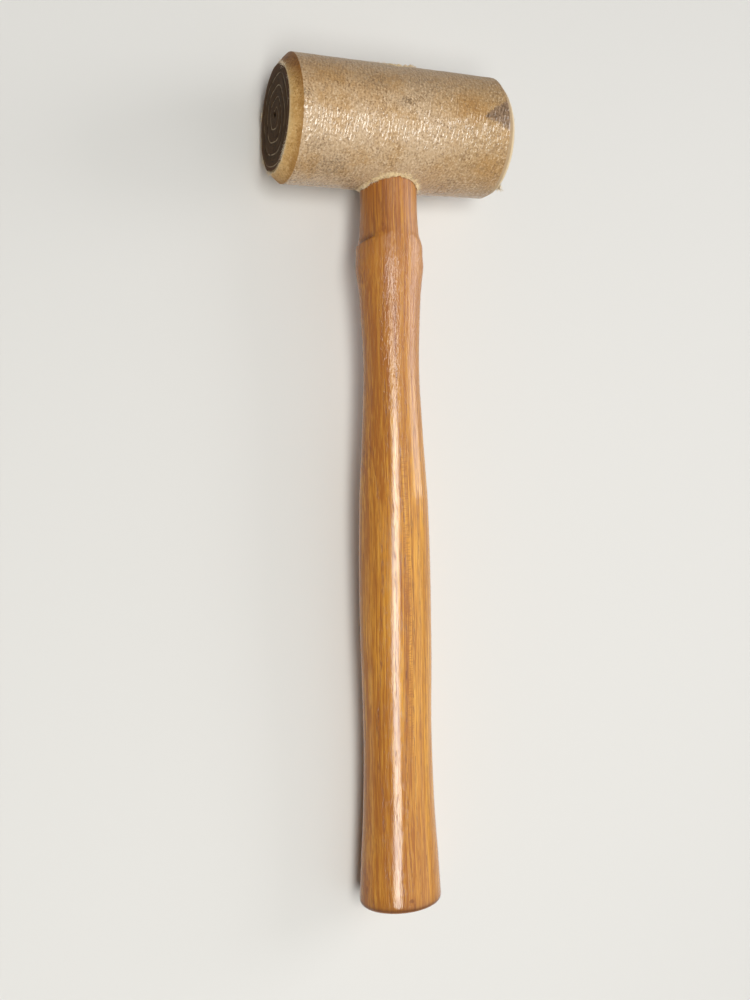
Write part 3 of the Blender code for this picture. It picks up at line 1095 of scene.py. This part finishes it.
def skin_colours(tree, place, spot, burst, shaded_far_top):
    """Colours of the skin's mottling: amber in patches, darker and browner over the far top as painted shade,
    and pale where burst.
    """
    # The right third is painted darker and more tan: partly its own colour, partly painted shade against the
    # stronger light from the right
    right_third = place.axis("X").mask(4, 36)
    amber = 0.0
    for patch, share in skin_spots(tree, spot, place, AMBER_PATCHES, 0.8, 2.6, 0.9):
        amber = (patch * share).math("MAXIMUM", amber)
    pale = tree.paint(
        (0.575, 0.405, 0.245),
        ((0.45, 0.283, 0.125), right_third),
        ((0.46, 0.250, 0.080), amber),
        # Painted shade: the far top of the head is darkened
        ((0.31, 0.185, 0.078), shaded_far_top * 0.6),
        ((0.74, 0.55, 0.295), burst * 0.9),
    )
    tan = tree.paint(
        (0.49, 0.290, 0.115),
        ((0.36, 0.178, 0.046), amber),
        ((0.24, 0.13, 0.045), shaded_far_top * 0.5),
        ((0.72, 0.50, 0.24), burst * 0.8),
    )
    fleck = tree.paint((0.78, 0.61, 0.42), ((0.60, 0.39, 0.17), amber), ((0.42, 0.27, 0.13), shaded_far_top * 0.5))
    return {"Pale": pale, "Tan": tan, "Speck": (0.22, 0.122, 0.048), "Fleck": fleck}


def skin_finish(grain, mottling, spot):
    """The rolled hide's outer side: pale tan rawhide under a thin satin varnish, with its stains."""
    finish, tree = new_finish("rawhide skin")
    place = attribute(tree, "skin_place", "Vector")
    turn = place.axis("Y")
    # The far top of the head, turned away from the lamps: its colour is darkened there as painted shade, and
    # it is made rougher
    shaded_far_top = turn.mask(skin_turn(90), skin_turn(45)) * turn.mask(skin_turn(-25), skin_turn(15))
    burst = torn_edge(tree)
    colours = skin_colours(tree, place, spot, burst, shaded_far_top)
    colour = tree.use(mottling, {"Place": place, **colours, "Speckle": 1.0})
    relief = tree.use(grain, {"Place": place, "Wrinkle": 1.0, "Pebble": 0.22})
    crumbs = place.noise(0.75, shift=6.6, twist=0.8).mask(0.42, 0.60)
    stain, tip = wedge_stain(place)
    grey = tree.paint(
        (0.11, 0.064, 0.037),
        ((0.28, 0.18, 0.115), place.noise(0.7, shift=1.7).mask(0.35, 0.65)),
        ((0.075, 0.042, 0.022), tip * crumbs * 0.85),
    )
    smudges = skin_spots(tree, spot, place, SMUDGES, 0.7, 3.0, 0.6)
    colour = tree.paint(
        colour,
        ((0.17, 0.096, 0.038), relief.beside("Pores") * 0.55),
        *(((0.13, 0.08, 0.04), dirt * crumbs * share) for dirt, share in smudges),
        (grey, stain * 0.85),
        ((0.86, 0.69, 0.42), burst * 0.25),
    )
    shine = {"Roughness": shaded_far_top * 0.3 + 0.14, "IOR": 1.57}
    tree.shade({"Base Color": colour, **shine, "Normal": relief.bump(0.40)})
    return finish


def chamfer_finish(grain, mottling):
    """Hide cut across at the chamfers: amber by the skin, paler to the rim and brown on the far side, darker
    at the right end partly as painted shade, with a painted highlight along the rim.
    """
    finish, tree = new_finish("cut hide")
    place = attribute(tree, "skin_place", "Vector")
    cut = attribute(tree, "cut", "Fac")
    uneven = place.noise(3, detail=4.0, roughness=0.6, shift=1.4) - 0.5
    far_side = (tool_place(tree).axis("Y") - cut * 11 + uneven * 18).mask(-3, 12)
    near_and_far = {
        "Pale": ((0.62, 0.375, 0.145), (0.29, 0.120, 0.027)),
        "Tan": ((0.50, 0.275, 0.085), (0.20, 0.078, 0.015)),
        "Speck": ((0.30, 0.155, 0.045), (0.12, 0.046, 0.010)),
        "Fleck": ((0.74, 0.53, 0.28), (0.38, 0.18, 0.05)),
    }
    colours = {name: tree.paint(near, (far, far_side)) for name, (near, far) in near_and_far.items()}
    across = cut + uneven
    near_side = 1 - far_side * 0.9
    right_end = place.axis("X").mask(0.0, 10)
    broken = place.noise(0.8, detail=3.0, shift=2.2).mask(0.36, 0.56).math("MAXIMUM", right_end * 0.8)
    # The pale line along the rim, broken up and strongest at the right end, is a painted highlight on the
    # edge
    rim = cut.mask(0.86 - right_end * 0.40, 0.98 - right_end * 0.26)
    colour = tree.paint(
        tree.use(mottling, {"Place": place, **colours, "Speckle": 1.1}),
        ((0.31, 0.145, 0.035), across.mask(0.50, 0.05) * near_side * 0.65),
        ((0.74, 0.54, 0.27), across.mask(0.60, 1.05) * near_side * 0.5),
        # Right end darker and duller: partly its own colour, partly painted shade against the light from the
        # right
        ((0.40, 0.30, 0.19), right_end * 0.75),
        # Painted highlight along the rim
        ((0.80, 0.66, 0.44), rim * broken * (right_end * 0.4 + 0.35)),
    )
    relief = tree.use(grain, {"Place": place, "Wrinkle": 0.4, "Pebble": 0.7})
    shine = {"Roughness": 0.5, "Specular IOR Level": 0.12}
    tree.shade({"Base Color": colour, **shine, "Normal": relief.bump(0.22)})
    return finish


def end_face_finish():
    """The roll's end: dark layers of hide on edge, with paler glue lines between them."""
    finish, tree = new_finish("hide on edge")
    place = attribute(tree, "skin_place", "Vector")
    depth = place.axis("Z")
    layer = place.noise((1, 6, 0.24), detail=3.0, shift=1.0)
    cloud = place.noise((6, 9, 4), detail=3.0, shift=3.0)
    broken = place.noise((2, 7, 4), detail=3.0, shift=4.0)
    glue = attribute(tree, "glue", "Fac")
    colour = tree.paint(
        (0.025, 0.0105, 0.002),
        ((0.082, 0.038, 0.008), layer.mask(0.36, 0.66)),
        ((0.080, 0.038, 0.011), cloud.mask(0.48, 0.7) * 0.6),
        ((0.105, 0.040, 0.015), depth.mask(6.8, 4.6) * 0.55),
        ((0.50, 0.385, 0.25), glue.mask(0.2, 0.9) * broken.mask(0.32, 0.62) * 0.95),
        # Pale line at the face's outer edge, beside the chamfer's rim: a painted highlight on the edge
        ((0.52, 0.38, 0.20), depth.mask(4.5, 4.0) * broken.mask(0.35, 0.5) * 0.6),
    )
    shine = {"Roughness": 0.55, "Specular IOR Level": 0.04}
    tree.shade({"Base Color": colour, **shine, "Normal": layer.bump(0.05)})
    return finish


def torn_finish(name, mottling, pale, tan):
    """Torn hide: pale, dry and matt."""
    finish, tree = new_finish(name)
    place = tool_place(tree)
    colours = {"Pale": pale, "Tan": tan, "Speck": (0.38, 0.25, 0.12)}
    colour = tree.use(mottling, {"Place": place, **colours, "Speckle": 1.2})
    colour = tree.paint(colour, ((0.68, 0.53, 0.41), place.axis("Y").mask(12, 18) * 0.7))
    tree.shade({"Base Color": colour, "Roughness": 0.7, "Normal": place.noise(0.35).bump(0.15)})
    return finish


def end_grain(tree):
    """1 where the surface faces along the grain, which is nearly the Y axis."""
    normal = tree.node("NewGeometry", {}, "Normal")
    return normal.axis("Y").math("ABSOLUTE").mask(0.35, 0.85)


def ladder(place):
    """Mask of the ray flecks: short rungs across one growth ring, along the middle of the handle's top."""
    along = place.axis("Y")
    drift = place.noise((60, 50, 60), shift=2.0) * 2.0
    across = (place.axis("X") + drift - 1.6).math("ABSOLUTE")
    rungs = place.noise((2.2, 0.50, 2.2), detail=1.0, shift=6.0).mask(0.47, 0.60) * across.mask(1.6, 1.0)
    return rungs * along.mask(-95, -125) * along.mask(-245, -215) * place.axis("Z").mask(0.0, 4)


def nick_shade(place):
    """Mask of the painted shade in the nick along the shoulder's left side, densest at the nick's edge."""
    turn = place.axis("Z").math("ARCTAN2", place.axis("X"))
    fallen = turn.mask(radians(NICK_FALLS_FROM), radians(NICK_FALLS_TO))
    edge = place.axis("Y") + fallen * NICK_FALL + NICK_AT
    return edge.mask(-0.35, 0.05) * edge.mask(2.6, 0.1) * turn.mask(radians(NICK_FROM), radians(152))


def handle_finish(figure, spot):
    """Hickory under a clear gloss varnish."""
    finish, tree = new_finish("varnished hickory")
    place = tool_place(tree)
    side, along = place.axis("X"), place.axis("Y")
    dark, pore = (0.33, 0.098, 0.007), (0.15, 0.037, 0.003)
    colours = {"Pale": (0.82, 0.43, 0.065), "Light": (0.65, 0.275, 0.020), "Dark": dark, "Pore": pore}
    wood = tree.use(figure, {"Place": place, "Pith": (50.0, 0.0, -22.5), "Ring": 3.0, **colours})
    pits = [add_spot(tree, spot, place, (-5.9, y, 9.2), (0.42, 1.0, 0.9), 2.2) for y in (-36.8, -38.8)]
    dent = add_spot(tree, spot, place, (-0.6, -DENT_AT[0], 12.6), (1.0, 0.8, 1.5), 1.0)
    end = end_grain(tree)
    open_pores = place.noise(0.42, detail=1.5, shift=4.4).mask(0.52, 0.64)
    neck, tenon = along.mask(-130, -70), along.mask(-46, -38)
    lines = place.noise((0.8, 35, 2.5), roughness=0.6, shift=6.1, twist=0.3)
    rim = 1 - end * 0.85
    colour = tree.paint(
        wood,
        (dark, ladder(place) * 0.5),
        *((pore, pit * 0.85) for pit in pits),
        (pore, dent * 0.8),
        ((0.26, 0.095, 0.022), end * 0.35),
        (pore, open_pores * end * 0.7),
        # The right side of the handle is painted paler as painted light from the right, and the left side
        # darker as painted shade
        ((0.86, 0.52, 0.16), side.mask(-2, 9) * 0.17),
        ((0.42, 0.135, 0.006), side.mask(-1, -10) * 0.25),
        ((0.36, 0.115, 0.008), along.mask(-205, -270) * 0.3),
        ((0.33, 0.108, 0.025), neck * 0.45),
        ((0.23, 0.070, 0.012), lines.mask(0.44, 0.62) * tenon * 0.7),
        # Painted shade in the nick at the shoulder
        ((0.14, 0.038, 0.006), nick_shade(place) * 0.75),
        ((0.19, 0.054, 0.006), along.mask(-281, -286.5) * rim * 0.35),
        ((0.11, 0.029, 0.004), along.mask(-285, -287) * rim * 0.85),
    )
    thin_varnish = (along + (lines - 0.5) * 40).mask(-46, -38)
    roughness = neck * 0.13 + thin_varnish * 0.16 + 0.11
    worn = place.noise((0.5, 2.4, 0.55), detail=1.0, shift=9.5, twist=0.3)
    height = wood.beside("Height") + worn * neck * 1.6
    tree.shade({"Base Color": colour, "Roughness": roughness, "IOR": 1.56, "Normal": height.bump(0.10)})
    return finish


def wedge_wood_finish(figure):
    """Sawn hardwood, bare at its end."""
    finish, tree = new_finish("wedge hardwood")
    light, pale = (0.62, 0.43, 0.24), (0.74, 0.56, 0.36)
    colours = {"Pale": pale, "Light": light, "Dark": (0.42, 0.25, 0.11), "Pore": (0.22, 0.12, 0.05)}
    wood = tree.use(figure, {"Place": tool_place(tree), "Pith": (0.0, 0.0, 50.0), "Ring": 1.8, **colours})
    tree.shade({"Base Color": wood, "Roughness": 0.6, "Normal": wood.beside("Height").bump(0.06)})
    return finish


def steel_finish(name, bloom, bare, rust):
    finish, tree = new_finish(name)
    steel = tree.use(bloom, {"Place": tool_place(tree), "Bare": bare, "Rust": rust})
    tree.shade({"Base Color": steel, "Roughness": steel.beside("Roughness"), "Metallic": 1.0})
    return finish


def dress_node(name, finish):
    """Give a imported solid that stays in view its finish."""
    slots = frame["nodes"][name].data.materials
    slots.clear()
    slots.append(finish)


# Studio


def shown_rays(tree):
    """1 for rays that show the backdrop, straight on, mirrored or through glass, and 0 for the others."""
    rays = tree.node("LightPath", {}, "Is Camera Ray")
    seen = rays.math("MAXIMUM", rays.beside("Is Glossy Ray"))
    return seen.math("MAXIMUM", rays.beside("Is Transmission Ray"))


def floor_finish():
    """Pale matt floor, which fades into the backdrop far from the mallet."""
    finish, tree = new_finish("pale floor")
    place = tool_place(tree)
    colour = tree.paint((0.70, 0.695, 0.69), ((0.72, 0.715, 0.71), place.noise(400)))
    tree.shade({"Base Color": colour, "Roughness": 0.9})
    floor = Wire(tree, tree.nodes["Principled BSDF"].outputs[0])
    glow = tree.node("Emission", {"Color": BACKDROP, "Strength": 1.0})
    far = place.length().mask(500, 1300) * shown_rays(tree)
    faded = tree.node("MixShader", {0: far, 1: floor, 2: glow})
    tree.fill(tree.nodes["Material Output"], {"Surface": faded})
    return finish


def add_floor():
    half = 6.0
    corners = [(-half, -half, 0), (half, -half, 0), (half, half, 0), (-half, half, 0)]
    mesh = bpy.data.meshes.new("floor")
    mesh.from_pydata(corners, [], [(0, 1, 2, 3)])
    mesh.materials.append(floor_finish())
    floor = add_object("floor", mesh)


def set_up(thing, place, up, back):
    """Stand a lamp or camera at a place, with its back turned one way and its top as near up as it can."""
    back = back.normalized()
    right = up.cross(back).normalized()
    axes = Matrix((right, back.cross(right), back)).transposed().to_4x4()
    thing.matrix_world = Matrix.Translation(place) @ axes


def add_panel(name, place, aim, size, watts, colour, along=(0, 1, 0)):
    """A soft rectangular lamp at place, facing aim. Its second side lies as near to along as it can."""
    lamp = bpy.data.lights.new(name, "AREA")
    lamp.shape = "RECTANGLE"
    lamp.size, lamp.size_y = size
    lamp.energy = watts
    lamp.color = colour
    set_up(add_object(name, lamp), place, Vector(along), Vector(place) - Vector(aim))


def add_lights():
    daylight, warm = (1.0, 0.985, 0.97), (1.0, 0.99, 0.93)
    over_handle, tube_along = (0, -0.05, 0), (0.37, 0.93, 0)
    add_panel("broad key", (1.35, -0.4, 1.7), (0, 0, 0), (2.6, 2.6), 14.5, daylight)
    add_panel("side window", (1.15, 0.30, 0.42), (0, 0.05, 0.02), (0.75, 0.60), 6.0, daylight)
    add_panel("ceiling tube", (-0.13, -0.20, 1.05), over_handle, (0.29, 0.86), 10.3, warm, tube_along)
    world = bpy.data.worlds.new("studio")
    bpy.context.scene.world = world
    world.use_nodes = True
    tree = Tree(world.node_tree)
    light = tree.nodes["Background"]
    tree.fill(light, {"Color": (1.0, 0.99, 0.98), "Strength": 0.07})
    backdrop = tree.node("Background", {"Color": BACKDROP, "Strength": 1.0})
    both = tree.node("MixShader", {0: shown_rays(tree), 1: Wire(tree, light.outputs[0]), 2: backdrop})
    tree.fill(tree.nodes["World Output"], {"Surface": both})


def add_camera():
    lens = bpy.data.cameras.new("camera")
    lens.lens = CAMERA_LENS
    lens.sensor_width = CAMERA_SENSOR
    lens.clip_start = 0.01
    camera = add_object("camera", lens)
    set_up(camera, CAMERA_PLACE, CAMERA_UP, CAMERA_RIGHT.cross(CAMERA_UP))
    bpy.context.scene.camera = camera


def build():
    bpy.context.scene.view_settings.view_transform = "Standard"
    grain, mottling, spot = hide_grain_group(), hide_mottling_group(), ragged_spot_group()
    figure, bloom = wood_figure_group(), steel_bloom_group()
    torn = torn_finish("torn hide", mottling, (0.67, 0.49, 0.26), (0.48, 0.31, 0.135))
    loose = torn_finish("loose hide fibre", mottling, (0.90, 0.82, 0.66), (0.82, 0.70, 0.50))

    shell, shares, rims, lips = head_shell()
    head = shell.mesh("rawhide_head")
    store_skin_places(head)
    for name, values in shares.items():
        store_point_values(head, name, values)
    hide = (skin_finish(grain, mottling, spot), chamfer_finish(grain, mottling), end_face_finish(), torn)
    add_piece("rawhide_head", head, hide, "rawhide_roll")
    add_piece("hide_fibres", fibres_mesh(shell, rims, lips), (loose,))
    add_piece("handle_wood", handle_mesh(), (handle_finish(figure, spot),), "handle")

    dress_node("kerf_wedge", wedge_wood_finish(figure))
    dress_node("steel_wedge", steel_finish("wedge steel", bloom, (0.42, 0.41, 0.40), 0.35))
    brad_steel = steel_finish("brad steel", bloom, (0.52, 0.50, 0.47), 0.2)
    for number in range(1, len(BRAD_PLACES) + 1):
        dress_node(f"lap_brad_{number}", brad_steel)

    add_floor()
    add_lights()
    add_camera()


build()
